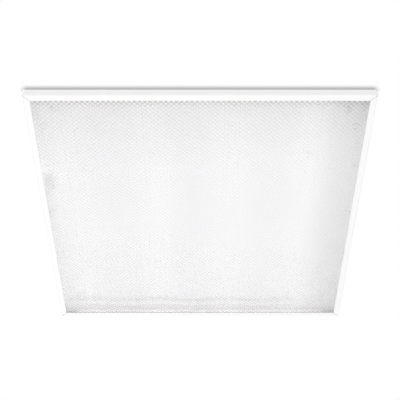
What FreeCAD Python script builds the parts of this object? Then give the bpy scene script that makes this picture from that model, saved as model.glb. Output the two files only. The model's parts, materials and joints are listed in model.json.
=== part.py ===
import FreeCAD, Part
import math
import os

import Sketcher
from FreeCAD import Placement, Rotation, Vector

# A square lay-in ceiling light: a frame of four mitred rails round a prismatic sheet, and four LED bars on a
# back plate. The plate's back carries a driver box with a hinged cover and four clips that swing out over the
# ceiling grid. Millimetres. Origin: centre of the frame's front lip plane. +Z points up into the ceiling, +X
# to the right rail and -Y to the near one.

SIZES = (
    # Frame and its rails: reaches are measured inwards from the rail's outer face
    ("side", 595.0, "outer side of the square frame"),
    ("frame_height", 19.0, "front lip plane to rim"),
    ("front_radius", 2.4, "outer radius at the front"),
    ("back_radius", 4.5, "outer radius at the back"),
    ("corner_radius", 2.5, "radius of the frame's corners in plan"),
    ("mitre_gap", 0.2, "each rail end stops this short of the mitre plane"),
    ("rail_wall", 1.3, "outer wall and rim"),
    ("lip", 11.5, "reach of the front lip"),
    ("lip_wall", 1.4, "thickness of the front lip"),
    ("lip_edge_radius", 0.5, "edge of the lip towards the sheet"),
    ("rib", 8.0, "reach of the rib over the sheet"),
    ("rib_wall", 1.0, "thickness of that rib"),
    ("web", 9.5, "reach of the web over the corner keys"),
    ("web_wall", 1.0, "thickness of that web"),
    ("rim", 9.5, "reach of the rim round the back plate"),
    ("ledge", 17.0, "reach of the ledge under the back plate"),
    ("ledge_wall", 1.2, "thickness of that ledge"),
    # Prismatic sheet in the groove between lip and rib
    ("diffuser", 2.0, "thickness over the prisms"),
    ("diffuser_slack", 0.2, "free height over the sheet"),
    ("diffuser_inset", 0.6, "gap from the sheet's edge to the rail wall"),
    # Corner keys
    ("key", 1.6, "thickness of a corner key"),
    ("key_slack", 0.1, "free height over and under a key"),
    ("key_inset", 0.2, "gap from a key to the rail wall"),
    ("key_width", 7.2, "width of a key's leg"),
    ("key_leg", 32.0, "length of a key's leg"),
    ("key_screw_place", 21.0, "key screw from the frame's corner"),
    ("key_screw_line", 5.0, "key screw from the rail's outer face"),
    ("key_screw_radius", 1.25, "shank"),
    ("key_screw_head", 2.4, "head radius"),
    ("key_screw_head_height", 1.3, "head height"),
    # Back plate
    ("plate", 0.6, "thickness of the back plate"),
    ("plate_drop", 0.8, "rim stands this far over the plate"),
    ("plate_inset", 0.3, "gap from the plate's edge to the rim"),
    ("plate_corner", 4.0, "corner radius of the plate"),
    ("bead_width", 12.0, "width of a pressed bead at its foot"),
    ("bead_length", 400.0, "length of a bead"),
    ("bead_side_step", 0.2, "inner foot of the bead stands in by this"),
    ("bead_slope", 45.0, "slope of a bead's sides in degrees"),
    ("plate_screw_line", 13.2, "plate screws from the rail's outer face"),
    ("plate_screw_pitch", 120.0, "between plate screws"),
    ("plate_screw_radius", 1.45, "shank"),
    ("plate_screw_head", 3.0, "head radius"),
    ("plate_screw_head_height", 0.8, "head height"),
    ("plate_screw_reach", 1.8, "shank below the ledge"),
    ("screw_fit", 0.05, "round a screw in its thread hole"),
    ("screw_clearance", 0.25, "round a screw in its clearance hole"),
    # Reflector sheet
    ("reflector", 0.4, "thickness of the reflector sheet"),
    ("reflector_inset", 0.6, "gap from the reflector to the ledge"),
    ("reflector_gap", 0.6, "gap round what passes through the reflector"),
    # LED bars
    ("first_bar", -229.0, "x of the first LED bar"),
    ("bar_pitch", 142.5, "between LED bars"),
    ("bar_width", 20.0, "width of an LED bar"),
    ("bar_length", 556.0, "length of an LED bar"),
    ("bar_board", 1.0, "thickness of an LED bar"),
    ("bar_corner", 0.5, "corner radius of an LED bar"),
    ("chip_width", 3.5, "LED package, x"),
    ("chip_length", 2.8, "LED package, y"),
    ("chip", 0.7, "height of an LED package"),
    ("chip_pitch", 15.0, "between LED packages"),
    ("bar_rivet_inner", 150.0, "y of the inner rivets of a bar"),
    ("bar_rivet_outer", 270.0, "y of the outer rivets of a bar"),
    ("bar_rivet_radius", 1.6, "shank"),
    ("bar_rivet_head", 2.3, "head radius"),
    ("bar_rivet_head_height", 0.65, "head height"),
    # Connectors and link wires at the bars' far ends
    ("connector_place", 6.5, "connector from the bar's middle line"),
    ("connector_width", 5.5, "connector, x"),
    ("connector_length", 6.0, "connector, y"),
    ("connector", 3.0, "height of a connector"),
    ("connector_line", 270.0, "y of the connectors"),
    ("link_radius", 0.7, "radius of a link wire"),
    ("link_spread", 1.3, "each link wire from the connector's middle"),
    ("link_bow", 4.0, "link wires bow out by this"),
    ("link_run", 20.0, "straight run of a link wire at a connector"),
    ("link_bend", 40.0, "bend radius of a link wire"),
    # Feed lead, its gland and its clip
    ("lead_radius", 1.3, "radius of the feed lead"),
    ("lead_bend", 4.5, "bend radius of the feed lead"),
    ("lead_gap", 0.05, "lead over the web"),
    ("lead_port", 5.0, "the lead's port beside the driver's middle"),
    ("lead_run", 12.0, "straight run of the lead at the driver"),
    ("lead_exit", 3.6, "the lead's exit from the gland's outer face"),
    ("lead_drift", 22.0, "length in which the lead drifts to its channel"),
    ("lead_rise", 24.0, "length in which the lead rises to the bar"),
    ("lead_turn", 8.0, "the lead leaves its channel this short of the connectors"),
    ("gland_x", -272.5, "x of the gland's neck"),
    ("gland_y", -90.0, "y of the gland"),
    ("gland_left", -287.4, "outer face of the gland block"),
    ("gland_right", -267.6, "inner face of the gland block"),
    ("gland_length", 39.0, "gland block, y"),
    ("gland_height", 8.0, "gland block, z"),
    ("gland_gap", 0.2, "gland block under the ledge"),
    ("gland_corner", 2.5, "corner radius of the gland block"),
    ("neck_width", 8.2, "gland neck, x"),
    ("neck_length", 28.0, "gland neck, y"),
    ("neck_fit", 0.15, "round the neck in its slot"),
    ("barb", 0.6, "the neck's barb stands out by this"),
    ("barb_height", 1.6, "height of the barb"),
    ("neck_rise", 4.5, "the neck over the box floor"),
    ("clip_y", -15.0, "y of the lead clip"),
    ("clip_length", 9.0, "lead clip, y"),
    ("clip_outer", 5.2, "outer face of the lead clip from the rail's outer face"),
    ("clip_inner", 13.0, "inner face of the lead clip"),
    ("clip_height", 4.0, "lead clip, z"),
    ("clip_edge", 0.35, "edge radius of the lead clip"),
    # Driver box
    ("box_left", -279.5, "outer wall of the box"),
    ("box_right", -205.5, "hinge wall of the box"),
    ("box_half", 130.0, "half length of the box"),
    ("box_wall", 0.8, "sheet of the box and its cover"),
    ("box_height", 23.8, "back plate to the cover's top"),
    ("box_corner", 1.6, "corner radius of the box"),
    ("cover_rest", 0.3, "gap between the box wall and the cover"),
    ("cover_side", 0.4, "gap between the cover's flange and the wall"),
    ("cover_flange", 4.6, "depth of the cover's flange"),
    ("cover_setback", 1.5, "cover's edge from the hinge wall's outer face"),
    ("cover_bend", 0.7, "edge radius of the cover"),
    ("vent_pitch", 10.0, "between the cover's vent slots"),
    ("vent_length", 30.0, "vent slot, x"),
    ("vent_width", 2.6, "vent slot, y"),
    ("knuckle", 2.2, "outer radius of a hinge knuckle"),
    ("knuckle_gap", 0.3, "gap beside and under a knuckle"),
    ("cover_knuckle", 12.0, "length of the cover's knuckle"),
    ("base_knuckle", 8.0, "length of each base knuckle"),
    ("hinge_place", 85.0, "y of each hinge"),
    ("pin_radius", 1.2, "hinge pin"),
    ("pin_play", 0.05, "round the pin in the cover's knuckle"),
    ("pin_seat", 0.02, "round the pin in the base's knuckles"),
    ("pin_overhang", 1.0, "pin beyond the last knuckle"),
    ("pin_head", 1.35, "radius of the pin's peened end"),
    ("tab_length", 20.0, "screw tab of the box, y"),
    ("tab_reach", 13.0, "screw tab of the box, x"),
    ("tab_drop", 1.3, "screw tab under the cover"),
    ("cover_screw_place", 7.5, "cover screw from the outer wall"),
    ("cover_screw_radius", 1.9, "shank"),
    ("cover_screw_head", 4.0, "head radius"),
    ("cover_screw_head_height", 2.2, "head height"),
    ("cover_screw_reach", 5.2, "shank under the cover"),
    ("cover_screw_play", 0.7, "round the shank in the tab"),
    ("cover_screw_slot", 1.0, "slot across the head"),
    ("box_rivet_inset", 8.0, "box rivets from the side walls"),
    ("box_rivet_place", 120.0, "y of the box rivets"),
    ("box_rivet_radius", 1.6, "shank"),
    ("box_rivet_head", 2.6, "head radius"),
    ("box_rivet_head_height", 0.7, "head height"),
    ("knockout_radius", 6.2, "pressed blank for a second cable entry"),
    ("knockout_groove", 0.35, "depth and half width of its groove"),
    # Cable bushing
    ("bushing_x", -220.0, "x of the cable entry"),
    ("bushing_rise", 9.8, "cable entry over the back plate"),
    ("bushing_bore", 4.5, "bore radius"),
    ("bushing_body", 6.2, "body radius"),
    ("bushing_flange", 8.0, "flange radius"),
    ("bushing_flange_wall", 1.5, "flange thickness"),
    ("bushing_ridge", 6.9, "snap ridge radius"),
    ("bushing_depth", 7.5, "body inside the box wall"),
    ("bushing_fit", 0.05, "round the body in the wall"),
    # LED driver
    ("driver_x", -250.0, "x of the LED driver"),
    ("driver_y", 4.0, "y of the LED driver"),
    ("driver_width", 38.0, "LED driver, x"),
    ("driver_length", 132.0, "case of the LED driver, y"),
    ("driver_height", 19.0, "LED driver, z"),
    ("driver_edge", 2.0, "edge radius of the case"),
    ("driver_lug", 8.0, "length of a mounting lug"),
    ("driver_lug_width", 18.0, "width of a mounting lug"),
    ("driver_lug_wall", 1.6, "thickness of a mounting lug"),
    ("driver_seam", 0.5, "seam round the case"),
    ("driver_port", 6.5, "height of the wire ports over the box floor"),
    ("driver_screw_radius", 1.5, "shank"),
    ("driver_screw_head", 2.8, "head radius"),
    ("driver_screw_head_height", 1.8, "head height"),
    # Terminal block with three levers
    ("block_x", -249.0, "x of the terminal block"),
    ("block_y", 98.0, "y of the terminal block"),
    ("block_length", 20.0, "terminal block, y"),
    ("block_height", 9.5, "terminal block, z"),
    ("block_end", 1.0, "end wall beyond the last pole"),
    ("pole_pitch", 8.0, "between poles"),
    ("lever_slot", 5.8, "width of a lever's slot"),
    ("lever_width", 5.6, "width of a lever"),
    ("lever_wall", 2.2, "thickness of a lever's arm"),
    ("lever_reach", 12.2, "pivot to the lever's tip"),
    ("lever_hub", 2.0, "radius of the hub"),
    ("lever_axle", 1.2, "radius of the stub axles"),
    ("lever_axle_play", 0.05, "round a stub axle"),
    ("lever_axle_length", 0.8, "stub axle beside the lever"),
    ("lever_gap", 0.3, "gap under lever and hub"),
    ("lever_ridge", 1.2, "thumb ridge over the arm"),
    ("lever_ridge_width", 2.4, "thumb ridge along the arm"),
    ("pivot_back", 7.0, "pivot from the block's wire face"),
    ("pivot_drop", 1.6, "pivot under the block's top"),
    ("entry_radius", 1.9, "wire entry"),
    ("entry_depth", 10.0, "wire entry"),
    ("entry_rise", 3.8, "wire entry over the box floor"),
    ("wire_radius", 1.0, "driver and earth wires"),
    ("wire_bend", 2.5, "bend radius of those wires"),
    ("wire_run", 5.0, "straight run of a wire at its end"),
    ("wire_port", 6.0, "each wire's port beside the driver's middle"),
    # Earth stud
    ("stud_x", -268.0, "x of the earth stud"),
    ("stud_y", 108.0, "y of the earth stud"),
    ("stud_radius", 2.0, "earth stud"),
    ("stud_height", 8.0, "earth stud"),
    ("stud_flange", 3.6, "radius of its welding flange"),
    ("stud_flange_wall", 0.5, "thickness of that flange"),
    ("lug_radius", 3.9, "ring of the earth wire's lug"),
    ("lug_wall", 0.8, "thickness of the lug"),
    ("nut_flats", 7.0, "earth nut across flats"),
    ("nut_height", 3.0, "earth nut"),
    # Swing-out grid clips
    ("grid_clip_x", 273.0, "x of the clips' pivots"),
    ("grid_clip_y", 215.0, "y of the clips' pivots"),
    ("strap", 1.2, "thickness of the clip's strap"),
    ("strap_width", 15.0, "width of the strap"),
    ("strap_riser", 9.2, "pivot to the riser's outer face"),
    ("strap_height", 22.5, "foot to the arm's top"),
    ("strap_reach", 36.0, "pivot to the arm's tip"),
    ("strap_hook", 5.0, "depth of the turned-down tip"),
    ("strap_bend", 2.0, "outer bend radius"),
    ("strap_hole", 2.05, "pivot hole radius"),
    ("strap_lift", 0.3, "strap over the back plate"),
    ("pivot_play", 0.05, "play of the strap on its rivet"),
    ("clip_rivet_head", 3.8, "radius of the clip rivet's heads"),
    ("clip_rivet_head_height", 1.2, "height of its upper head"),
    ("clip_rivet_tail_height", 0.7, "height of its lower head"),
    # Rivet nuts for suspension rods or wires
    ("hanger_place", 255.0, "x and y of each rivet nut"),
    ("hanger_bore", 2.1, "bore radius for an M4 rod"),
    ("hanger_body", 3.3, "body radius"),
    ("hanger_flange", 5.2, "flange radius"),
    ("hanger_flange_wall", 0.8, "flange thickness"),
    ("hanger_bulge", 4.6, "radius of the upset bulge"),
    ("hanger_bulge_height", 1.8, "height of the bulge"),
    ("hanger_depth", 7.0, "nut below the plate"),
)

BAR_COUNT = 4
CHIP_COUNT = 36
BEAD_COUNT = 3
SLOT_END = 0.99  # the end of a bead or vent is rounded almost to a half circle
VENT_COUNT = 9
PLATE_SCREWS_PER_SIDE = 5
PAST = 3.0  # a cut runs this far past the stock that it takes away
POLES = ("line", "neutral", "earth")


class Size:
    """A length that knows its value and the expression that ties it to the sheet of sizes."""

    def __init__(self, value, text):
        self.value = float(value)
        self.text = text

    def __add__(self, other):
        other = as_size(other)
        return Size(self.value + other.value, f"({self.text} + {other.text})")

    def __sub__(self, other):
        other = as_size(other)
        return Size(self.value - other.value, f"({self.text} - {other.text})")

    def __mul__(self, other):
        other = as_size(other)
        return Size(self.value * other.value, f"({self.text} * {other.text})")

    def __truediv__(self, other):
        other = as_size(other)
        return Size(self.value / other.value, f"({self.text} / {other.text})")

    def __neg__(self):
        return self * -1

    def __radd__(self, other):
        return as_size(other) + self

    def __rsub__(self, other):
        return as_size(other) - self

    def __rmul__(self, other):
        return self * other


def as_size(number):
    if isinstance(number, Size):
        return number
    text = repr(float(number))
    return Size(number, f"({text})" if number < 0 else text)


def number(size):
    return as_size(size).value


def bind(thing, place, size):
    """Ties a property or a constraint to the sheet, or leaves a plain number in a property."""
    thing.setExpression(place, as_size(size).text)


class SizeSheet:
    """The document's sheet of sizes; each size is read as an attribute."""

    def __init__(self, table):
        self.cells = doc.addObject("Spreadsheet::Sheet", "Sizes")
        for row, (name, value, note) in enumerate(table, start=1):
            self.cells.set(f"A{row}", name)
            self.cells.set(f"B{row}", str(value))
            self.cells.set(f"C{row}", note)
            self.cells.setAlias(f"B{row}", name)
        doc.recompute()

    def __getattr__(self, name):
        return Size(self.cells.get(name), "Sizes." + name)


# ---------------------------------------------------------------- outlines in sketches


def fix_point(sketch, geometry, point, x, y):
    for kind, size, axis in (("DistanceX", x, -2), ("DistanceY", y, -1)):
        size = as_size(size)
        if size.value == 0 and "Sizes" not in size.text:
            sketch.addConstraint(Sketcher.Constraint("PointOnObject", geometry, point, axis))
            continue
        index = sketch.addConstraint(Sketcher.Constraint(kind, -1, 1, geometry, point, size.value))
        bind(sketch, f"Constraints[{index}]", size)


def fix_radius(sketch, geometry, radius):
    index = sketch.addConstraint(Sketcher.Constraint("Radius", geometry, number(radius)))
    bind(sketch, f"Constraints[{index}]", radius)


def circle(x, y, radius):
    """Draws a circle."""

    def draw(sketch):
        centre = Vector(number(x), number(y), 0)
        geometry = sketch.addGeometry(Part.Circle(centre, Vector(0, 0, 1), number(radius)), False)
        fix_point(sketch, geometry, 3, x, y)
        fix_radius(sketch, geometry, radius)

    return draw


def polygon(*corners):
    """Draws a closed outline through corners (x, y), or (x, y, radius) where a corner is rounded."""

    def draw(sketch):
        spots = [Vector(number(corner[0]), number(corner[1]), 0) for corner in corners]
        lines = draw_sides(sketch, corners, spots)
        for index, corner in enumerate(corners):
            if len(corner) == 2:
                join = Sketcher.Constraint("Coincident", lines[index - 1], 2, lines[index], 1)
                sketch.addConstraint(join)
                fix_point(sketch, lines[index], 1, corner[0], corner[1])
            else:
                draw_round(sketch, corner, spots, index, lines)

    return draw


def setback(corners, spots, index):
    """Distance from a corner to where its round starts."""
    if len(corners[index]) == 2:
        return 0.0
    back = spots[index - 1] - spots[index]
    ahead = spots[(index + 1) % len(spots)] - spots[index]
    return number(corners[index][2]) / math.tan(back.getAngle(ahead) / 2)


def draw_sides(sketch, corners, spots):
    lines = []
    for index, spot in enumerate(spots):
        following = (index + 1) % len(spots)
        along = (spots[following] - spot).normalize()
        start = spot + along * setback(corners, spots, index)
        end = spots[following] - along * setback(corners, spots, following)
        lines.append(sketch.addGeometry(Part.LineSegment(start, end), False))
    return lines


def draw_round(sketch, corner, spots, index, lines):
    """An arc tangent to both sides, and a point that holds the sharp corner's place."""
    spot = spots[index]
    back = (spots[index - 1] - spot).normalize()
    ahead = (spots[(index + 1) % len(spots)] - spot).normalize()
    half = back.getAngle(ahead) / 2
    radius = number(corner[2])
    centre = spot + (back + ahead).normalize() * (radius / math.sin(half))
    run_in = spot + back * (radius / math.tan(half))
    run_out = spot + ahead * (radius / math.tan(half))
    turns_left = (back * -1).cross(ahead).z > 0
    first, last = (run_in, run_out) if turns_left else (run_out, run_in)
    start = math.atan2(first.y - centre.y, first.x - centre.x)
    end = math.atan2(last.y - centre.y, last.x - centre.x)
    full = Part.Circle(centre, Vector(0, 0, 1), radius)
    arc = sketch.addGeometry(Part.ArcOfCircle(full, start, end), False)
    in_end, out_end = (1, 2) if turns_left else (2, 1)
    sketch.addConstraint(Sketcher.Constraint("Tangent", lines[index - 1], 2, arc, in_end))
    sketch.addConstraint(Sketcher.Constraint("Tangent", arc, out_end, lines[index], 1))
    fix_radius(sketch, arc, corner[2])
    sharp = sketch.addGeometry(Part.Point(spot), True)
    fix_point(sketch, sharp, 1, corner[0], corner[1])
    sketch.addConstraint(Sketcher.Constraint("PointOnObject", sharp, 1, lines[index - 1]))
    sketch.addConstraint(Sketcher.Constraint("PointOnObject", sharp, 1, lines[index]))


def rectangle(left, low, right, high, radius=None):
    """Draws a rectangle, with rounded corners where a radius is given."""
    corners = [(left, low), (right, low), (right, high), (left, high)]
    if radius is not None:
        corners = [corner + (radius,) for corner in corners]
    return polygon(*corners)


def centred(x, y, width, length, radius=None):
    """Draws a rectangle round its middle."""
    return rectangle(x - width / 2, y - length / 2, x + width / 2, y + length / 2, radius)


# ---------------------------------------------------------------- pieces

# The planes that a sketch can lie on, with the sense of the sketch's normal along the third axis
NORMALS = {"XY": 1, "XZ": -1, "YZ": 1}


class Piece:
    """One body. Each step draws a sketch on one of its origin planes, at a place along the third axis."""

    def __init__(self, label):
        self.body = doc.addObject("PartDesign::Body", label)
        self.body.Label = label
        self.body.AllowCompound = True

    def origin(self, role):
        return [item for item in self.body.Origin.OriginFeatures if item.Role == role][0]

    def sketch(self, plane, place, shapes):
        sketch = self.body.newObject("Sketcher::SketchObject", self.body.Name + "_sketch")
        sketch.AttachmentSupport = [(self.origin(plane + "_Plane"), "")]
        sketch.MapMode = "FlatFace"
        bind(sketch, "AttachmentOffset.Base.z", place * NORMALS[plane])
        for draw in shapes:
            draw(sketch)
        sketch.Visibility = False
        return sketch

    def feature(self, kind, profile):
        feature = self.body.newObject("PartDesign::" + kind, f"{self.body.Name}_{kind.lower()}")
        feature.Profile = profile
        return feature

    def settle(self, feature):
        doc.recompute()
        if feature.State != ["Up-to-date"] or feature.Shape.isNull():
            raise RuntimeError(f"{self.body.Label}: {feature.Name} is {feature.State}")

    def pad(self, plane, low, high, *shapes, slope=0):
        """Adds the shapes from low to high, with sides that lean in by the slope."""
        feature = self.feature("Pad", self.sketch(plane, as_size(low), shapes))
        bind(feature, "Length", high - low)
        feature.Reversed = NORMALS[plane] < 0
        if number(slope):
            bind(feature, "TaperAngle", -slope)
        self.settle(feature)
        return feature

    def cut(self, plane, low, high, *shapes, slope=0):
        """Takes the shapes away from low to high."""
        before = self.volume()
        feature = self.feature("Pocket", self.sketch(plane, as_size(low), shapes))
        bind(feature, "Length", high - low)
        feature.Reversed = NORMALS[plane] > 0
        if number(slope):
            bind(feature, "TaperAngle", -slope)
        self.settle(feature)
        if self.volume() > before - 1e-6:
            raise RuntimeError(f"{self.body.Label}: {feature.Name} takes nothing away")
        return feature

    def volume(self):
        return self.body.Shape.Volume

    def turn(self, plane, axis, shape):
        """Adds the shape turned once round an axis of the body."""
        feature = self.feature("Revolution", self.sketch(plane, as_size(0), [shape]))
        feature.ReferenceAxis = (self.origin(axis + "_Axis"), [""])
        feature.Angle = 360
        self.settle(feature)
        return feature

    def repeat(self, features, axis, count, pitch):
        """Repeats steps along an axis of the body."""
        pattern = self.body.newObject("PartDesign::LinearPattern", self.body.Name + "_repeat")
        pattern.Originals = features
        pattern.Direction = (self.origin(axis + "_Axis"), [""])
        pattern.Mode = "Spacing"
        bind(pattern, "Offset", pitch)
        pattern.Occurrences = count
        self.body.Tip = pattern
        self.settle(pattern)
        return pattern

    def dress(self, kind, field, size, chosen):
        """Rounds or bevels the edges for which chosen(edge) holds."""
        base = self.body.Tip
        names = [f"Edge{i}" for i, edge in enumerate(base.Shape.Edges, start=1) if chosen(edge)]
        if not names:
            raise RuntimeError(f"{self.body.Label}: no edge to dress")
        feature = self.body.newObject("PartDesign::" + kind, f"{self.body.Name}_{kind.lower()}")
        feature.Base = (base, names)
        bind(feature, field, size)
        self.settle(feature)
        return feature

    def fillet(self, radius, chosen):
        return self.dress("Fillet", "Radius", radius, chosen)

    def chamfer(self, size, chosen):
        return self.dress("Chamfer", "Size", size, chosen)

    def place(self, x=0, y=0, z=0, turn=0):
        self.body.Placement = Placement(Vector(0, 0, 0), Rotation(Vector(0, 0, 1), turn))
        for axis, size in zip("xyz", (x, y, z)):
            bind(self.body, f"Placement.Base.{axis}", size)


def runs_along(edge, axis):
    """True for a straight edge parallel to an axis."""
    if edge.Curve.TypeId != "Part::GeomLine":
        return False
    return abs(abs(edge.tangentAt(edge.FirstParameter).dot(axis)) - 1) < 1e-6


def middle(edge):
    return edge.CenterOfMass


def near(value, size):
    return abs(value - number(size)) < 1e-4


def lies_at(edge, height):
    """True for an edge that lies flat at a height."""
    return near(edge.BoundBox.ZMin, height) and near(edge.BoundBox.ZMax, height)


def is_rim(edge, height):
    """True for a round edge that lies flat at a height."""
    return edge.Curve.TypeId == "Part::GeomCircle" and lies_at(edge, height)


def fasteners(label, centres, steps, rounded=None):
    """Identical upright pins. A step is a disc (radius, low, high); rounded is an edge's (height, radius)."""
    piece = Piece(label)
    for radius, low, high in steps:
        piece.pad("XY", low, high, *[circle(x, y, radius) for x, y in centres])
    if rounded:
        height, radius = rounded
        piece.fillet(radius, lambda edge: is_rim(edge, height))
    return piece


# ---------------------------------------------------------------- tubes


def rounded_path(points, bend):
    """A wire of straight runs joined by tangent arcs."""
    edges = []
    start = points[0]
    for before, corner, after in zip(points, points[1:], points[2:]):
        back = (before - corner).normalize()
        ahead = (after - corner).normalize()
        half = back.getAngle(ahead) / 2
        cut = bend / math.tan(half)
        run_in = corner + back * cut
        run_out = corner + ahead * cut
        crown = corner + (back + ahead).normalize() * (bend / math.sin(half) - bend)
        edges.append(Part.LineSegment(start, run_in).toShape())
        edges.append(Part.Arc(run_in, crown, run_out).toShape())
        start = run_out
    edges.append(Part.LineSegment(start, points[-1]).toShape())
    return Part.Wire(edges)


def tube(points, bend, radius):
    """A round lead along a route. Its volume is compared with its section times its length."""
    spots = [Vector(*[number(size) for size in point]) for point in points]
    path = rounded_path(spots, number(bend))
    ring = Part.Wire([Part.Circle(spots[0], spots[1] - spots[0], number(radius)).toShape()])
    sweep = Part.BRepOffsetAPI.MakePipeShell(path)
    sweep.setFrenetMode(True)
    sweep.add(ring)
    sweep.build()
    sweep.makeSolid()
    solid = sweep.shape()
    expected = path.Length * math.pi * number(radius) ** 2
    if abs(solid.Volume - expected) > 0.01 * expected:
        raise RuntimeError(f"tube volume {solid.Volume:.1f}, expected {expected:.1f}")
    return solid


def tubes(label, routes, bend, radius, extra=()):
    """One node of one or more leads."""
    solids = [tube(points, bend, radius) for points in routes]
    feature = doc.addObject("Part::Feature", label)
    feature.Label = label
    feature.Shape = Part.makeCompound(solids + list(extra)) if len(solids) + len(extra) > 1 else solids[0]
    return feature


def cut_by(label, base, tool):
    """What is left of a body where another piece passes through it."""
    result = doc.addObject("Part::Cut", label)
    result.Label = label
    result.Base = base
    result.Tool = tool
    doc.recompute()
    return result


doc = FreeCAD.newDocument("Troffer")
s = SizeSheet(SIZES)

# Levels over the front lip plane, from the front to the back
sheet_high = s.lip_wall + s.diffuser
rib_low = sheet_high + s.diffuser_slack
rib_high = rib_low + s.rib_wall
key_low = rib_high + s.key_slack
key_high = key_low + s.key
web_low = key_high + s.key_slack
web_high = web_low + s.web_wall
plate_high = s.frame_height - s.plate_drop
plate_low = plate_high - s.plate
ledge_low = plate_low - s.ledge_wall
bar_low = plate_low - s.bar_board
floor_high = plate_high + s.box_wall
cover_high = plate_high + s.box_height
cover_low = cover_high - s.box_wall
wall_high = cover_low - s.cover_rest

# Places shared by pieces that meet
half_side = s.side / 2
hinge_x = s.box_right - s.box_wall + s.knuckle
hinge_z = cover_high - s.knuckle
cover_edge = s.box_right - s.cover_setback
cover_screw_x = s.box_left + s.cover_screw_place
bushing_z = plate_high + s.bushing_rise
pivot_y = s.block_y + s.block_length / 2 - s.pivot_back
pivot_z = floor_high + s.block_height - s.pivot_drop
entry_z = floor_high + s.entry_rise
port_z = floor_high + s.driver_port
driver_far = s.driver_y + s.driver_length / 2
driver_near = s.driver_y - s.driver_length / 2
strap_low = plate_high + s.strap_lift
sheet_half = half_side - s.ledge - s.reflector_inset


def bar_x(index):
    return s.first_bar + s.bar_pitch * index


def bead_x(index):
    """A bead runs midway between two bars."""
    return bar_x(index) + s.bar_pitch / 2


def pole_x(index):
    return s.block_x + s.pole_pitch * (index - (len(POLES) - 1) / 2)


def plate_screw_spots():
    """Screws along the four sides, over the rails' ledges."""
    line = half_side - s.plate_screw_line
    middle_screw = (PLATE_SCREWS_PER_SIDE - 1) / 2
    along = [s.plate_screw_pitch * (i - middle_screw) for i in range(PLATE_SCREWS_PER_SIDE)]
    spots = []
    for place in along:
        spots += [(place, -line), (place, line), (-line, place), (line, place)]
    return spots


def bar_rivet_spots(x):
    places = (s.bar_rivet_inner, s.bar_rivet_outer)
    return [(x, sign * place) for place in places for sign in (-1, 1)]


def all_bar_rivet_spots():
    return [spot for i in range(BAR_COUNT) for spot in bar_rivet_spots(bar_x(i))]


def box_rivet_spots():
    columns = (s.box_left + s.box_rivet_inset, s.box_right - s.box_rivet_inset)
    return [(x, sign * s.box_rivet_place) for x in columns for sign in (-1, 1)]


def corner_spots(x, y):
    return [(sx * x, sy * y) for sx in (-1, 1) for sy in (-1, 1)]


# ---------------------------------------------------------------- frame


def rail_section():
    """The rail's section: lip, sheet groove, key chamber, wall, rim and the ledge for the back plate."""

    def reach(size):
        return size - half_side

    inner_round = s.back_radius - s.rail_wall
    rim_low = s.frame_height - s.rail_wall
    rim_foot = s.rim - s.rail_wall
    return polygon(
        (reach(0), 0, s.front_radius),
        (reach(s.lip), 0, s.lip_edge_radius),
        (reach(s.lip), s.lip_wall),
        (reach(s.rail_wall), s.lip_wall),
        (reach(s.rail_wall), rib_low),
        (reach(s.rib), rib_low),
        (reach(s.rib), rib_high),
        (reach(s.rail_wall), rib_high),
        (reach(s.rail_wall), web_low),
        (reach(s.web), web_low),
        (reach(s.web), web_high),
        (reach(s.rail_wall), web_high),
        (reach(s.rail_wall), rim_low, inner_round),
        (reach(rim_foot), rim_low),
        (reach(rim_foot), ledge_low),
        (reach(s.ledge), ledge_low),
        (reach(s.ledge), plate_low),
        (reach(s.rim), plate_low),
        (reach(s.rim), s.frame_height),
        (reach(0), s.frame_height, s.back_radius),
    )


def mitre_end(side):
    """What the mitre takes off a rail's end, out to beyond the ledge."""
    tip = half_side - s.mitre_gap * math.sqrt(2)
    depth = s.ledge + PAST
    beyond = half_side + PAST
    return polygon(
        (side * (tip + PAST), -beyond),
        (side * (tip - depth), depth - half_side),
        (side * beyond, depth - half_side),
        (side * beyond, -beyond),
    )


def corner_end(side):
    """What the frame's plan corner takes off a rail's end."""
    start = half_side - s.corner_radius * 3
    beyond = half_side + PAST
    return polygon(
        (side * start, -beyond),
        (side * beyond, -beyond),
        (side * beyond, -start),
        (side * half_side, -start),
        (side * half_side, -half_side, s.corner_radius),
        (side * start, -half_side),
    )


def frame_rail(label, turn):
    """An extruded rail, drawn as the near one and turned to its side of the frame."""
    rail = Piece(label)
    rail.pad("YZ", -half_side, half_side, rail_section())
    rail.cut("XY", as_size(-PAST), s.frame_height + PAST, mitre_end(-1), mitre_end(1))
    rail.cut("XY", as_size(-PAST), s.frame_height + PAST, corner_end(-1), corner_end(1))
    screw_line = s.plate_screw_line - half_side
    first = -s.plate_screw_pitch * (PLATE_SCREWS_PER_SIDE - 1) / 2
    thread = circle(first, screw_line, s.plate_screw_radius + s.screw_fit)
    hole = rail.cut("XY", ledge_low, plate_low, thread)
    rail.repeat([hole], "X", PLATE_SCREWS_PER_SIDE, s.plate_screw_pitch)
    key_hole = s.key_screw_radius + s.screw_clearance
    key_place = half_side - s.key_screw_place
    key_line = s.key_screw_line - half_side
    rail.cut("XY", web_low, web_high, *[circle(sign * key_place, key_line, key_hole) for sign in (-1, 1)])
    rail.place(turn=turn)
    return rail.body


def corner_key(label, turn):
    """A flat steel angle in the key chambers of two rails, drawn at the near right corner."""
    outer = half_side - s.rail_wall - s.key_inset
    inner = outer - s.key_width
    leg = outer - s.key_leg
    key = Piece(label)
    key.pad(
        "XY",
        key_low,
        key_high,
        polygon(
            (leg, -outer, s.lip_edge_radius),
            (outer, -outer, s.lip_wall),
            (outer, -leg, s.lip_edge_radius),
            (inner, -leg, s.lip_edge_radius),
            (inner, -inner, s.lip_edge_radius),
            (leg, -inner, s.lip_edge_radius),
        ),
    )
    hole = s.key_screw_radius + s.screw_fit
    place = half_side - s.key_screw_place
    line = half_side - s.key_screw_line
    key.cut("XY", key_low, key_high, circle(place, -line, hole), circle(line, -place, hole))
    key.place(turn=turn)
    return key.body


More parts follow.
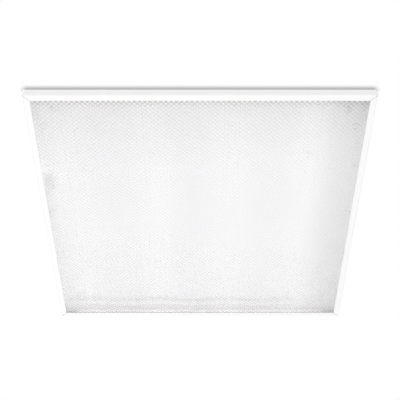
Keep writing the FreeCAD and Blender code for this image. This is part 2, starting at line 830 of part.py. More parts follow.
def corner_key_screws():
    place = half_side - s.key_screw_place
    line = half_side - s.key_screw_line
    spots = corner_spots(place, line) + corner_spots(line, place)
    head = web_high + s.key_screw_head_height
    steps = [(s.key_screw_radius, key_low, web_high), (s.key_screw_head, web_high, head)]
    return fasteners("corner_key_screws", spots, steps, (head, s.key_screw_head_height / 2)).body


def prismatic_diffuser():
    """The sheet in the rails' groove. Its prisms lie within its thickness."""
    edge = half_side - s.rail_wall - s.diffuser_inset
    sheet = Piece("prismatic_diffuser")
    sheet.pad("XY", s.lip_wall, sheet_high, rectangle(-edge, -edge, edge, edge))
    return sheet.body


# ---------------------------------------------------------------- back plate and light source


def bead_outline(x, step):
    """A bead's foot: a long slot shape, drawn in by a step."""
    half_width = s.bead_width / 2 - step
    half_length = s.bead_length / 2 - step
    round_end = half_width * SLOT_END
    return rectangle(x - half_width, -half_length, x + half_width, half_length, round_end)


def gland_slot(gap):
    """The slot for the gland's neck."""
    width = s.neck_width + gap * 2
    length = s.neck_length + gap * 2
    return centred(s.gland_x, s.gland_y, width, length, s.gland_corner)


def back_plate():
    """Steel sheet with beads pressed outwards and the holes for everything that it carries."""
    plate = Piece("back_plate")
    edge = half_side - s.rim - s.plate_inset
    plate.pad("XY", plate_low, plate_high, rectangle(-edge, -edge, edge, edge, s.plate_corner))
    bead = plate.pad("XY", plate_high, s.frame_height, bead_outline(bead_x(0), 0), slope=s.bead_slope)
    plate.repeat([bead], "X", BEAD_COUNT, s.bar_pitch)
    inner = bead_outline(bead_x(0), s.bead_side_step)
    hollow = plate.cut("XY", plate_low, plate_low + s.plate_drop, inner, slope=s.bead_slope)
    plate.repeat([hollow], "X", BEAD_COUNT, s.bar_pitch)
    screw = s.plate_screw_radius + s.screw_clearance
    holes = [circle(x, y, screw) for x, y in plate_screw_spots()]
    holes += [circle(x, y, s.bar_rivet_radius) for x, y in all_bar_rivet_spots()]
    holes += [circle(x, y, s.box_rivet_radius) for x, y in box_rivet_spots()]
    holes += [circle(x, y, s.stud_radius) for x, y in corner_spots(s.grid_clip_x, s.grid_clip_y)]
    holes += [circle(x, y, s.hanger_body) for x, y in corner_spots(s.hanger_place, s.hanger_place)]
    plate.cut("XY", plate_low, plate_high, gland_slot(s.neck_fit), *holes)
    return plate.body


def back_plate_screws():
    head = plate_high + s.plate_screw_head_height
    low = ledge_low - s.plate_screw_reach
    steps = [(s.plate_screw_radius, low, plate_high), (s.plate_screw_head, plate_high, head)]
    edge = (head, s.plate_screw_head_height / 2)
    return fasteners("back_plate_screws", plate_screw_spots(), steps, edge).body


def reflector_sheet():
    """White sheet under the back plate, slotted for the bars and open round the rivets."""
    sheet = Piece("reflector_sheet")
    low = plate_low - s.reflector
    sheet.pad("XY", low, plate_low, rectangle(-sheet_half, -sheet_half, sheet_half, sheet_half))
    width = s.bar_width + s.reflector_gap * 2
    length = s.bar_length + s.reflector_gap * 2
    shapes = [centred(bar_x(i), as_size(0), width, length) for i in range(BAR_COUNT)]
    shapes.append(gland_slot(s.barb + s.reflector_gap))
    clip_hole = s.clip_rivet_head + s.reflector_gap
    hanger_hole = s.hanger_bulge + s.reflector_gap
    rivet_hole = s.box_rivet_head + s.reflector_gap
    shapes += [circle(x, y, clip_hole) for x, y in corner_spots(s.grid_clip_x, s.grid_clip_y)]
    shapes += [circle(x, y, hanger_hole) for x, y in corner_spots(s.hanger_place, s.hanger_place)]
    shapes += [circle(x, y, rivet_hole) for x, y in box_rivet_spots()]
    sheet.cut("XY", low, plate_low, *shapes)
    return sheet.body


def led_bar(index):
    """A metal-core board, screwed to the back plate."""
    bar = Piece(f"led_bar_{index + 1}")
    board = centred(as_size(0), as_size(0), s.bar_width, s.bar_length, s.bar_corner)
    bar.pad("XY", bar_low, plate_low, board)
    spots = bar_rivet_spots(as_size(0))
    bar.cut("XY", bar_low, plate_low, *[circle(x, y, s.bar_rivet_radius) for x, y in spots])
    bar.place(x=bar_x(index))
    return bar.body


def led_chips(index):
    """The LED packages along a bar's face."""
    chips = Piece(f"led_chips_{index + 1}")
    first = s.chip_pitch * -(CHIP_COUNT - 1) / 2
    chip = chips.pad("XY", bar_low - s.chip, bar_low, centred(as_size(0), first, s.chip_width, s.chip_length))
    chips.repeat([chip], "Y", CHIP_COUNT, s.chip_pitch)
    chips.place(x=bar_x(index))
    return chips.body


def led_bar_rivets():
    low = bar_low - s.bar_rivet_head_height
    high = plate_high + s.bar_rivet_head_height
    steps = [(s.bar_rivet_head, low, bar_low)]
    steps.append((s.bar_rivet_radius, bar_low, plate_high))
    steps.append((s.bar_rivet_head, plate_high, high))
    rivets = fasteners("led_bar_rivets", all_bar_rivet_spots(), steps)
    rivets.fillet(s.bar_rivet_head_height / 2, lambda edge: is_rim(edge, low) or is_rim(edge, high))
    return rivets.body


def connector_spots():
    """Each bar takes its feed on its left and passes it on at its right, except the last."""
    spots = []
    for index in range(BAR_COUNT):
        spots.append(bar_x(index) - s.connector_place)
        if index < BAR_COUNT - 1:
            spots.append(bar_x(index) + s.connector_place)
    return spots


def led_connectors():
    """Board connectors at the far ends of the bars, each with a latch rib under it."""
    connectors = Piece("led_connectors")
    low = bar_low - s.connector
    line = s.connector_line
    blocks = [centred(x, line, s.connector_width, s.connector_length) for x in connector_spots()]
    connectors.pad("XY", low, bar_low, *blocks)
    ribs = [centred(x, line, s.connector_width / 2, s.connector_length / 3) for x in connector_spots()]
    connectors.pad("XY", low - s.chip, low, *ribs)
    return connectors.body


def link_routes():
    """Two wires from each bar to the next, bowed a little towards the far rail."""
    reach = s.connector_place + s.connector_width / 2
    level = bar_low - s.connector / 2
    routes = []
    for index in range(BAR_COUNT - 1):
        start = bar_x(index) + reach
        end = bar_x(index + 1) - reach
        for sign in (-1, 1):
            line = s.connector_line + sign * s.link_spread
            bowed = line + s.link_bow
            inner = s.link_run * 2
            places = [(start, line), (start + s.link_run, line), (start + inner, bowed)]
            places += [(end - inner, bowed), (end - s.link_run, line), (end, line)]
            routes.append([(x, y, level) for x, y in places])
    return routes


# ---------------------------------------------------------------- feed lead


def feed_route():
    """From the driver down through the gland, along the left rail's web and up to the first bar."""
    channel = s.clip_outer + s.clip_height / 2 - half_side
    on_web = web_high + s.lead_radius + s.lead_gap
    block_level = ledge_low - s.gland_gap - s.gland_height / 2
    connector_x = bar_x(0) - s.connector_place - s.connector_width / 2
    level = bar_low - s.connector / 2
    block_far = s.gland_y + s.gland_length / 2
    port_x = s.driver_x - s.lead_port
    return [
        (port_x, driver_near, port_z),
        (port_x, driver_near - s.lead_run, port_z),
        (s.gland_x, s.gland_y, port_z),
        (s.gland_x, s.gland_y, block_level),
        (s.gland_left + s.lead_exit, block_far + s.lead_gap, block_level),
        (channel, block_far + s.lead_drift, on_web),
        (channel, s.connector_line - s.lead_turn, on_web),
        (channel + s.lead_rise, s.connector_line, level),
        (connector_x, s.connector_line, level),
    ]


def lead_gland(lead):
    """Moulded strain relief: a block under the ledge with a neck that snaps into the box floor."""
    high = ledge_low - s.gland_gap
    low = high - s.gland_height
    half = s.gland_length / 2
    neck_high = floor_high + s.neck_rise
    barb_low = floor_high + s.neck_fit
    blank = Piece("lead_gland_blank")
    outline = rectangle(s.gland_left, s.gland_y - half, s.gland_right, s.gland_y + half, s.gland_corner)
    blank.pad("XY", low, high, outline)
    blank.fillet(s.gland_corner / 2, lambda edge: lies_at(edge, low))
    blank.pad("XY", high, neck_high, gland_slot(as_size(0)))
    blank.pad("XY", barb_low, barb_low + s.barb_height, gland_slot(s.barb), slope=as_size(15))
    return cut_by("lead_gland", blank.body, lead)


def lead_clip(lead):
    """A small saddle that holds the lead on the left rail's web."""
    blank = Piece("lead_clip_blank")
    left = s.clip_outer - half_side
    right = s.clip_inner - half_side
    half = s.clip_length / 2
    shoulder = s.clip_height / 2
    blank.pad(
        "XZ",
        s.clip_y - half,
        s.clip_y + half,
        polygon(
            (left, web_high, s.clip_edge),
            (right, web_high, s.clip_edge),
            (right, web_high + shoulder, s.clip_edge),
            (left + shoulder * 2, web_high + s.clip_height, s.lip_edge_radius),
            (left, web_high + s.clip_height, s.lip_edge_radius),
        ),
    )
    return cut_by("lead_clip", blank.body, lead)


# ---------------------------------------------------------------- driver box


def hinge_spots():
    return [-s.hinge_place, s.hinge_place]


def cover_knuckle_span(y):
    return y - s.cover_knuckle / 2, y + s.cover_knuckle / 2


def base_knuckle_spans(y):
    inner = s.cover_knuckle / 2 + s.knuckle_gap
    outer = inner + s.base_knuckle
    return [(y - outer, y - inner), (y + inner, y + outer)]


def box_outline(inset):
    """The box's outline, drawn in by an inset."""
    left = s.box_left + inset
    right = s.box_right - inset
    half = s.box_half - inset
    return rectangle(left, -half, right, half, s.box_corner - inset)


def driver_box_base():
    """Folded tray with rolled hinge knuckles, a screw tab, the cable entry and a pressed knock-out."""
    base = Piece("driver_box_base")
    wall = s.box_wall
    base.pad("XY", plate_high, wall_high, box_outline(as_size(0)))
    base.cut("XY", floor_high, wall_high, box_outline(wall))
    for y in hinge_spots():
        low, high = cover_knuckle_span(y)
        notch_low = hinge_z - s.knuckle - s.knuckle_gap
        gap = s.knuckle_gap
        notch = rectangle(s.box_right - wall * 2, notch_low, s.box_right + wall, wall_high + 1)
        base.cut("XZ", low - gap, high + gap, notch)
    for y in hinge_spots():
        for low, high in base_knuckle_spans(y):
            base.pad("XZ", low, high, circle(hinge_x, hinge_z, s.knuckle))
            base.cut("XZ", low, high, circle(hinge_x, hinge_z, s.pin_radius + s.pin_seat))
    add_screw_tab(base)
    cut_box_openings(base)
    return base.body


def add_screw_tab(base):
    """The wall's top turned inwards, where the cover screw passes."""
    high = cover_low - s.tab_drop
    left = s.box_left + s.box_wall / 2
    right = s.box_left + s.tab_reach
    tab = rectangle(left, -s.tab_length / 2, right, s.tab_length / 2)
    base.pad("XY", high - s.box_wall, high, tab)
    hole = s.cover_screw_radius + s.cover_screw_play
    base.cut("XY", high - s.box_wall, high, circle(cover_screw_x, as_size(0), hole))


def cut_box_openings(base):
    """Holes in the floor and in the end walls."""
    holes = [circle(x, y, s.box_rivet_radius) for x, y in box_rivet_spots()]
    base.cut("XY", plate_high, floor_high, gland_slot(s.neck_fit), *holes)
    entry = circle(s.bushing_x, bushing_z, s.bushing_body + s.bushing_fit)
    base.cut("XZ", s.box_half - s.box_wall, s.box_half, entry)
    groove = s.knockout_groove
    outer = circle(s.bushing_x, bushing_z, s.knockout_radius + groove)
    inner = circle(s.bushing_x, bushing_z, s.knockout_radius - groove)
    base.cut("XZ", -s.box_half, -s.box_half + groove, outer, inner)


def driver_box_cover():
    """Lid with flanges over three walls, rolled knuckles on the fourth side and vents over the LED driver."""
    cover = Piece("driver_box_cover")
    wall = s.box_wall
    side = s.cover_side + wall
    half = s.box_half + side
    left = s.box_left - side
    low = cover_low - s.cover_flange
    cover.pad("XY", low, cover_high, rectangle(left, -half, cover_edge, half))
    cover.fillet(s.box_corner, lambda edge: runs_along(edge, Vector(0, 0, 1)) and near(middle(edge).x, left))
    cover.cut("XY", low, cover_low, rectangle(left + wall, -half + wall, cover_edge + 1, half - wall))
    cover.fillet(s.cover_bend, lambda edge: on_cover_rim(edge, left, half))
    for y in hinge_spots():
        start, end = cover_knuckle_span(y)
        cover.pad("XY", cover_low, cover_high, rectangle(cover_edge - wall, start, hinge_x, end))
        cover.pad("XZ", start, end, circle(hinge_x, hinge_z, s.knuckle))
        cover.cut("XZ", start, end, circle(hinge_x, hinge_z, s.pin_radius + s.pin_play))
    screw_hole = s.cover_screw_radius + s.screw_fit
    cover.cut("XY", cover_low, cover_high, circle(cover_screw_x, as_size(0), screw_hole))
    first = s.vent_pitch * -(VENT_COUNT - 1) / 2
    vent = centred(s.driver_x, first, s.vent_length, s.vent_width, s.vent_width / 2 * SLOT_END)
    slot = cover.cut("XY", cover_low, cover_high, vent)
    cover.repeat([slot], "Y", VENT_COUNT, s.vent_pitch)
    return cover.body


def on_cover_rim(edge, left, half):
    """The cover's top edges, along its outer side and its two ends."""
    box = edge.BoundBox
    at_top = near(box.ZMin, cover_high) and near(box.ZMax, cover_high)
    along_side = near(box.XMax, left)
    along_end = near(abs(middle(edge).y), half)
    at_corner = box.XLength < number(s.box_corner) * 1.01 and box.YLength < number(s.box_corner) * 1.01
    return at_top and (along_side or along_end or at_corner)


def cover_hinge_pins():
    """Two pins, each peened at its near end."""
    pins = Piece("cover_hinge_pins")
    reach = s.cover_knuckle / 2 + s.knuckle_gap + s.base_knuckle
    for y in hinge_spots():
        low = y - reach
        pins.pad("XZ", low, y + reach + s.pin_overhang, circle(hinge_x, hinge_z, s.pin_radius))
        pins.pad("XZ", low - s.pin_overhang, low, circle(hinge_x, hinge_z, s.pin_head))
    return pins.body


def cover_screw():
    """Captive screw with a slotted head."""
    head = cover_high + s.cover_screw_head_height
    low = cover_low - s.cover_screw_reach
    spot = [(cover_screw_x, as_size(0))]
    steps = [(s.cover_screw_radius, low, cover_high), (s.cover_screw_head, cover_high, head)]
    screw = fasteners("cover_screw", spot, steps, (head, s.cover_bend))
    slot = centred(cover_screw_x, as_size(0), s.cover_screw_head * 2 + 1, s.cover_screw_slot)
    screw.cut("XY", head - s.cover_screw_slot, head, slot)
    return screw.body


def driver_box_rivets():
    low = plate_low - s.box_rivet_head_height
    high = floor_high + s.box_rivet_head_height
    steps = [(s.box_rivet_head, low, plate_low)]
    steps.append((s.box_rivet_radius, plate_low, floor_high))
    steps.append((s.box_rivet_head, floor_high, high))
    rivets = fasteners("driver_box_rivets", box_rivet_spots(), steps)
    rivets.fillet(s.box_rivet_head_height / 2, lambda edge: is_rim(edge, low) or is_rim(edge, high))
    return rivets.body


def cable_bushing():
    """Snap-in bushing in the far end wall, turned round its bore."""
    bushing = Piece("cable_bushing")
    wall_in = -s.box_wall
    ridge_slope = s.bushing_ridge - s.bushing_body
    inner_end = wall_in - s.bushing_depth
    bushing.turn(
        "XY",
        "Y",
        polygon(
            (s.bushing_bore, inner_end),
            (s.bushing_body, inner_end),
            (s.bushing_body, wall_in - ridge_slope * 4),
            (s.bushing_ridge, wall_in - ridge_slope * 1.5),
            (s.bushing_ridge, wall_in - 0.1),
            (s.bushing_body, wall_in - 0.1),
            (s.bushing_body, 0),
            (s.bushing_flange, 0),
            (s.bushing_flange, s.bushing_flange_wall, s.lip_edge_radius),
            (s.bushing_bore, s.bushing_flange_wall, s.lip_edge_radius),
        ),
    )
    bushing.place(x=s.bushing_x, y=s.box_half, z=bushing_z)
    return bushing.body


# ---------------------------------------------------------------- inside the driver box


def led_driver():
    """Moulded case with a seam, two mounting lugs and a recess for the wires at each end."""
    driver = Piece("led_driver")
    width = s.driver_width
    high = floor_high + s.driver_height
    driver.pad("XY", floor_high, high, centred(s.driver_x, s.driver_y, width, s.driver_length, s.driver_edge))
    driver.fillet(s.driver_edge / 2, lambda edge: near(edge.BoundBox.ZMin, high))
    seam_low = high - s.driver_height / 4
    outer = centred(s.driver_x, s.driver_y, width + 1, s.driver_length + 1)
    shrink = s.driver_seam * 2
    core = centred(s.driver_x, s.driver_y, width - shrink, s.driver_length - shrink, s.driver_edge)
    driver.cut("XY", seam_low, seam_low + s.driver_seam, outer, core)
    for end, sign in ((driver_far, 1), (driver_near, -1)):
        tip = end + sign * s.driver_lug
        root = end - sign * s.driver_edge
        low, far = (root, tip) if sign > 0 else (tip, root)
        left = s.driver_x - s.driver_lug_width / 2
        lug = rectangle(left, low, left + s.driver_lug_width, far, s.driver_edge / 2)
        driver.pad("XY", floor_high, floor_high + s.driver_lug_wall, lug)
    holes = [circle(s.driver_x, y, s.driver_screw_radius + s.screw_clearance) for y in driver_screw_lines()]
    driver.cut("XY", floor_high, floor_high + s.driver_lug_wall, *holes)
    return driver.body


def driver_screw_lines():
    return [driver_near - s.driver_lug / 2, driver_far + s.driver_lug / 2]


def led_driver_screws():
    seat = floor_high + s.driver_lug_wall
    head = seat + s.driver_screw_head_height
    spots = [(s.driver_x, y) for y in driver_screw_lines()]
    steps = [(s.driver_screw_radius, floor_high, seat), (s.driver_screw_head, seat, head)]
    return fasteners("led_driver_screws", spots, steps, (head, s.driver_screw_head_height / 2)).body


def terminal_block():
    """Housing of the lever terminals: a slot, a wire entry and bearings for each lever."""
    block = Piece("terminal_block")
    high = floor_high + s.block_height
    half = s.block_length / 2
    near_face = s.block_y - half
    wire_face = s.block_y + half
    width = s.pole_pitch * len(POLES) + s.block_end * 2
    block.pad("XY", floor_high, high, centred(s.block_x, s.block_y, width, s.block_length, s.lip_edge_radius))
    hub_low = pivot_z - s.lever_hub - s.lever_gap
    arm_low = pivot_z - s.lever_wall / 2 - s.lever_gap
    hub_side = s.lever_hub + s.lever_gap * 2
    arms = []
    hubs = []
    for index in range(len(POLES)):
        left = pole_x(index) - s.lever_slot / 2
        right = pole_x(index) + s.lever_slot / 2
        arms.append(rectangle(left, near_face - 1, right, pivot_y))
        hubs.append(rectangle(left, pivot_y - hub_side, right, pivot_y + hub_side))
    block.cut("XY", arm_low, high + 1, *arms)
    block.cut("XY", hub_low, high + 1, *hubs)
    ends = s.block_x - width / 2 + s.block_end, s.block_x + width / 2 - s.block_end
    block.cut("YZ", ends[0], ends[1], circle(pivot_y, pivot_z, s.lever_axle + s.lever_axle_play))
    entries = [circle(pole_x(i), entry_z, s.entry_radius) for i in range(len(POLES))]
    block.cut("XZ", wire_face - s.entry_depth, wire_face, *entries)
    block.chamfer(s.lip_edge_radius, lambda edge: is_entry_rim(edge, wire_face))
    return block.body


def is_entry_rim(edge, wire_face):
    box = edge.BoundBox
    is_round = edge.Curve.TypeId == "Part::GeomCircle"
    return is_round and near(box.YMin, wire_face) and near(box.YMax, wire_face)


def terminal_lever(index):
    """A lever with hub, stub axles and thumb ridge. Closed, its tip points away from the wire face."""
    lever = Piece(f"terminal_lever_{POLES[index]}")
    half_wall = s.lever_wall / 2
    half_width = s.lever_width / 2
    tip = -s.lever_reach
    ridge = tip + s.lever_ridge_width
    lever.pad("YZ", -half_width, half_width, circle(0, 0, s.lever_hub))
    lever.pad(
        "YZ",
        -half_width,
        half_width,
        polygon(
            (tip, -half_wall, half_wall / 2),
            (0, -half_wall),
            (0, half_wall),
            (ridge + s.lever_ridge, half_wall),
            (ridge, half_wall + s.lever_ridge, half_wall / 2),
            (tip, half_wall + s.lever_ridge, half_wall / 2),
        ),
    )
    axle = half_width + s.lever_axle_length
    lever.pad("YZ", -axle, axle, circle(0, 0, s.lever_axle))
    lever.place(x=pole_x(index), y=pivot_y, z=pivot_z)
    return lever.body


def driver_wire_routes():
    """Line and neutral from the terminal block to the driver."""
    block_near = s.block_y - s.block_length / 2
    routes = []
    for pole, sign in ((1, -1), (2, 1)):
        x = pole_x(pole)
        port_x = s.driver_x + sign * s.wire_port
        places = [(x, block_near, entry_z), (x, block_near - s.wire_run, entry_z)]
        places += [(port_x, driver_far + s.wire_run, port_z), (port_x, driver_far, port_z)]
        routes.append(places)
    return routes


def earth_wire():
    """From the terminal block to a ring lug on the earth stud."""
    block_near = s.block_y - s.block_length / 2
    lug_low = floor_high + s.stud_flange_wall
    level = lug_low + s.lug_wall + s.wire_radius
    route = [
        (pole_x(0), block_near, entry_z),
        (pole_x(0), block_near - s.wire_run, entry_z),
        (s.stud_x, block_near - s.wire_run, entry_z),
        (s.stud_x, block_near + s.wire_run, level),
        (s.stud_x, s.stud_y - s.lug_radius, level),
    ]
    centre = Vector(number(s.stud_x), number(s.stud_y), number(lug_low))
    ring = Part.makeCylinder(number(s.lug_radius), number(s.lug_wall), centre)
    ring = ring.cut(Part.makeCylinder(number(s.stud_radius + s.pin_play), number(s.lug_wall), centre))
    left = number(s.stud_x - s.wire_radius)
    tongue_start = Vector(left, number(s.stud_y - s.lug_radius - s.wire_run), number(lug_low))
    tongue = Part.makeBox(number(s.wire_radius * 2), number(s.wire_run + 1), number(s.lug_wall), tongue_start)
    lug = ring.fuse(tongue).removeSplitter()
    return tubes("earth_wire", [route], s.wire_bend, s.wire_radius, extra=lug.Solids)


def earth_stud():
    """Threaded stud welded to the box floor."""
    flange = floor_high + s.stud_flange_wall
    steps = [(s.stud_flange, floor_high, flange), (s.stud_radius, flange, floor_high + s.stud_height)]
    return fasteners("earth_stud", [(s.stud_x, s.stud_y)], steps).body


def earth_nut():
    """Hexagon nut on the earth stud."""
    nut = Piece("earth_nut")
    low = floor_high + s.stud_flange_wall + s.lug_wall
    corner = s.nut_flats / math.sqrt(3)
    corners = []
    for index in range(6):
        angle = math.radians(60 * index)
        corners.append((s.stud_x + corner * math.cos(angle), s.stud_y + corner * math.sin(angle)))
    nut.pad("XY", low, low + s.nut_height, polygon(*corners))
    nut.cut("XY", low, low + s.nut_height, circle(s.stud_x, s.stud_y, s.stud_radius + s.screw_fit))
    return nut.body


# ---------------------------------------------------------------- clips and hangers on the back


def grid_clip(label, side_x, side_y):
    """Z-shaped spring strap. Stowed along the rail, it swings out by 90 degrees to hook over the grid."""
    clip = Piece(label)
    half = s.strap_width / 2
    inner_bend = s.strap_bend - s.strap
    riser_in = s.strap_riser - s.strap
    top = s.strap_height
    under_arm = top - s.strap
    clip.pad(
        "YZ",
        -half,
        half,
        polygon(
            (-half, 0),
            (s.strap_riser, 0, s.strap_bend),
            (s.strap_riser, under_arm, inner_bend),
            (s.strap_reach - s.strap, under_arm, inner_bend),
            (s.strap_reach - s.strap, top - s.strap_hook),
            (s.strap_reach, top - s.strap_hook),
            (s.strap_reach, top, s.strap_bend),
            (riser_in, top, s.strap_bend),
            (riser_in, s.strap, inner_bend),
            (-half, s.strap),
        ),
    )
    clip.fillet(half * 0.9, lambda edge: runs_along(edge, Vector(0, 0, 1)) and near(middle(edge).y, -half))
    clip.cut("XY", as_size(0), s.strap, circle(0, 0, s.strap_hole))
    turn = 0 if side_x < 0 else 180
    clip.place(x=side_x * s.grid_clip_x, y=side_y * s.grid_clip_y, z=strap_low, turn=turn)
    return clip.body


def grid_clip_rivets():
    """Shouldered rivets on which the clips turn."""
    seat = strap_low - s.pivot_play
    strap_top = strap_low + s.strap + s.pivot_play
    high = strap_top + s.clip_rivet_head_height
    low = plate_low - s.clip_rivet_tail_height
    steps = [(s.clip_rivet_head, low, plate_low), (s.stud_radius, plate_low, plate_high)]
    steps += [(s.clip_rivet_head, plate_high, seat), (s.strap_hole - s.pivot_play, seat, strap_top)]
    steps.append((s.clip_rivet_head, strap_top, high))
    spots = corner_spots(s.grid_clip_x, s.grid_clip_y)
    return fasteners("grid_clip_rivets", spots, steps, (high, s.clip_rivet_head_height / 2)).body


def suspension_nuts():
    """Rivet nuts for threaded rods or hanging wires."""
    low = plate_low - s.hanger_depth
    bulge_low = plate_low - s.hanger_bulge_height
    high = plate_high + s.hanger_flange_wall
    steps = [(s.hanger_body, low, bulge_low), (s.hanger_bulge, bulge_low, plate_low)]
    steps += [(s.hanger_body, plate_low, plate_high), (s.hanger_flange, plate_high, high)]
    spots = corner_spots(s.hanger_place, s.hanger_place)
    nuts = fasteners("suspension_nuts", spots, steps)
    nuts.cut("XY", low, high, *[circle(x, y, s.hanger_bore) for x, y in spots])
    return nuts.body


# ---------------------------------------------------------------- the whole light


def build_parts():
    """Every sub-part, in the order from the front to the back."""
    parts = []
    for name, turn in (("near", 0), ("right", 90), ("far", 180), ("left", 270)):
        parts.append(frame_rail(f"frame_rail_{name}", turn))
    for name, turn in (("near_right", 0), ("far_right", 90), ("far_left", 180), ("near_left", 270)):
        parts.append(corner_key(f"corner_key_{name}", turn))
    parts += [corner_key_screws(), prismatic_diffuser()]
    parts += [back_plate(), back_plate_screws(), reflector_sheet()]
    for index in range(BAR_COUNT):
        parts += [led_bar(index), led_chips(index)]
    parts += [led_bar_rivets(), led_connectors()]
    parts.append(tubes("led_link_wires", link_routes(), s.link_bend, s.link_radius))
    lead = tubes("feed_lead", [feed_route()], s.lead_bend, s.lead_radius)
    parts += [lead, lead_gland(lead), lead_clip(lead)]
    parts += [driver_box_base(), driver_box_cover(), cover_hinge_pins(), cover_screw()]
    parts += [driver_box_rivets(), cable_bushing()]
    parts += [led_driver(), led_driver_screws(), terminal_block()]
    parts += [terminal_lever(index) for index in range(len(POLES))]
    parts.append(tubes("driver_input_wires", driver_wire_routes(), s.wire_bend, s.wire_radius))
    parts += [earth_wire(), earth_stud(), earth_nut()]
    for side_y, row in ((-1, "near"), (1, "far")):
        for side_x, column in ((-1, "left"), (1, "right")):
            parts.append(grid_clip(f"grid_clip_{row}_{column}", side_x, side_y))
    parts += [grid_clip_rivets(), suspension_nuts()]
    return parts


def check_document():
    for item in doc.Objects:
        if "Invalid" in item.State or "Error" in item.State:
            raise RuntimeError(f"{item.Label}: {item.State}")


def write_parts(parts):
    os.makedirs("parts", exist_ok=True)
    for part in parts:
        shape = part.Shape
        if shape.isNull() or not shape.isValid() or not shape.Solids:
            raise RuntimeError(f"{part.Label}: shape is not a valid solid")
        shape.exportStep(f"parts/{part.Label}.step")
        print(f"{part.Label}: {len(shape.Solids)} solid(s), {shape.Volume:.1f} mm3")


all_parts = build_parts()
doc.recompute()
check_document()
write_parts(all_parts)
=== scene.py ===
import json
import math

import bmesh
import bpy
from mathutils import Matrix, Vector


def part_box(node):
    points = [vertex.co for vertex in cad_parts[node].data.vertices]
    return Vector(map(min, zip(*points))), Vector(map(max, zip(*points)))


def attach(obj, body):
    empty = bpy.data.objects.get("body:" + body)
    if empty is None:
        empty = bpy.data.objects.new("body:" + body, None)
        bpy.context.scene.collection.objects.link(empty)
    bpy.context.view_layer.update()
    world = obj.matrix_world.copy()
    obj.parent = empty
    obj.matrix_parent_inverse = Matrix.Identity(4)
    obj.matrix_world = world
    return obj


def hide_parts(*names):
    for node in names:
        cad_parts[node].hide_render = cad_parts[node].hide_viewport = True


# A square ceiling light with a prismatic sheet, seen from below and in front. Metres, in the
# part's own frame: the front lip lies in z = 0, +Z points up into the ceiling and -Y is near.

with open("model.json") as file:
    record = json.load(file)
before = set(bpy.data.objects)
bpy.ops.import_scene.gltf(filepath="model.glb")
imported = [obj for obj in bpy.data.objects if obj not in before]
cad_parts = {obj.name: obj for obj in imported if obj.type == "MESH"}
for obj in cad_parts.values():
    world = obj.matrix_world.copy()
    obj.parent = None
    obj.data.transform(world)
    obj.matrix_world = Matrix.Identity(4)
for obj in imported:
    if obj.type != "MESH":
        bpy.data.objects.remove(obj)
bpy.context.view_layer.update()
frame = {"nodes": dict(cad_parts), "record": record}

# Lamp: places of the LED bars and packages, which the finishes repeat
FIRST_BAR = -0.229
BAR_PITCH = 0.1425
CHIP_PITCH = 0.015
BAND_WIDTH = 0.024  # of the glow on each side of a bar

# Light of the lamp on what faces the space over the sheet, painted as emission except on the LED
# packages: its colour, then its strength on each
LAMP_WHITE = (0.997, 0.99, 1.0)
BOARD_WHITE = (0.995, 0.992, 1.0)
PACKAGE_WHITE = (1.0, 0.975, 0.955)
METAL_WHITE = (0.99, 0.98, 0.99)
GLAND_WHITE = (0.85, 0.85, 0.85)
ON_FILM = 0.575
ON_BOARD = 0.59
ON_PACKAGE = 0.7
ON_RAIL = 0.51
ON_METAL = 0.47
ON_GLAND = 0.56

# Space over the sheet: the rails' inner faces, and where it starts and ends in height
SPACE_HALF = 0.2961
SPACE_LOW = 0.0035
SPACE_HIGH = 0.0178
FADE_EDGE = 0.296  # from here the glow grows towards the middle
METAL_HALF = 0.28  # rivets and nuts inside the rails lie within this
# Width of the painted shade along the mitre joints
MITRE_LINE = 0.0006

# Prismatic sheet
PRISM_STEPS = 67  # half diagonals of a pyramid from the middle of the sheet to its edge
PRISM_DEPTH = 0.0012

# Camera, fitted to the outline of the frame
CAMERA_PLACE = (0, -1.1746, -1.1442)
CAMERA_TILT = math.radians(90 + 45.58)
CAMERA_LENS = 77.22

# Studio
CEILING_HEIGHT = 0.01904
CEILING_HALF = 3.0
FLOOR_HEIGHT = -2.6
FLOOR_HALF = 60.0
SHADOW_REACH = 0.009
SHADOW_STARTS, SHADOW_FULL = -0.285, -0.3  # y of the shadow on the ceiling, before the near rail
LIGHT_ABOVE, LIGHT_BELOW = 0.55, 0.93
SOFT_BOXES = (
    ("key_box", (-0.7, 0.8, -2.1), 16, 2.4),
    ("front_box", (0.4, -2.4, -0.9), 14, 2.0),
    ("back_box", (-1.6, -0.6, 1.4), 17, 1.0),
)


def find_socket(sockets, key):
    """A socket by its number, or the one in use that has that name or identifier."""
    if isinstance(key, int):
        return sockets[key]
    return next(s for s in sockets if s.enabled and key in (s.name, s.identifier))


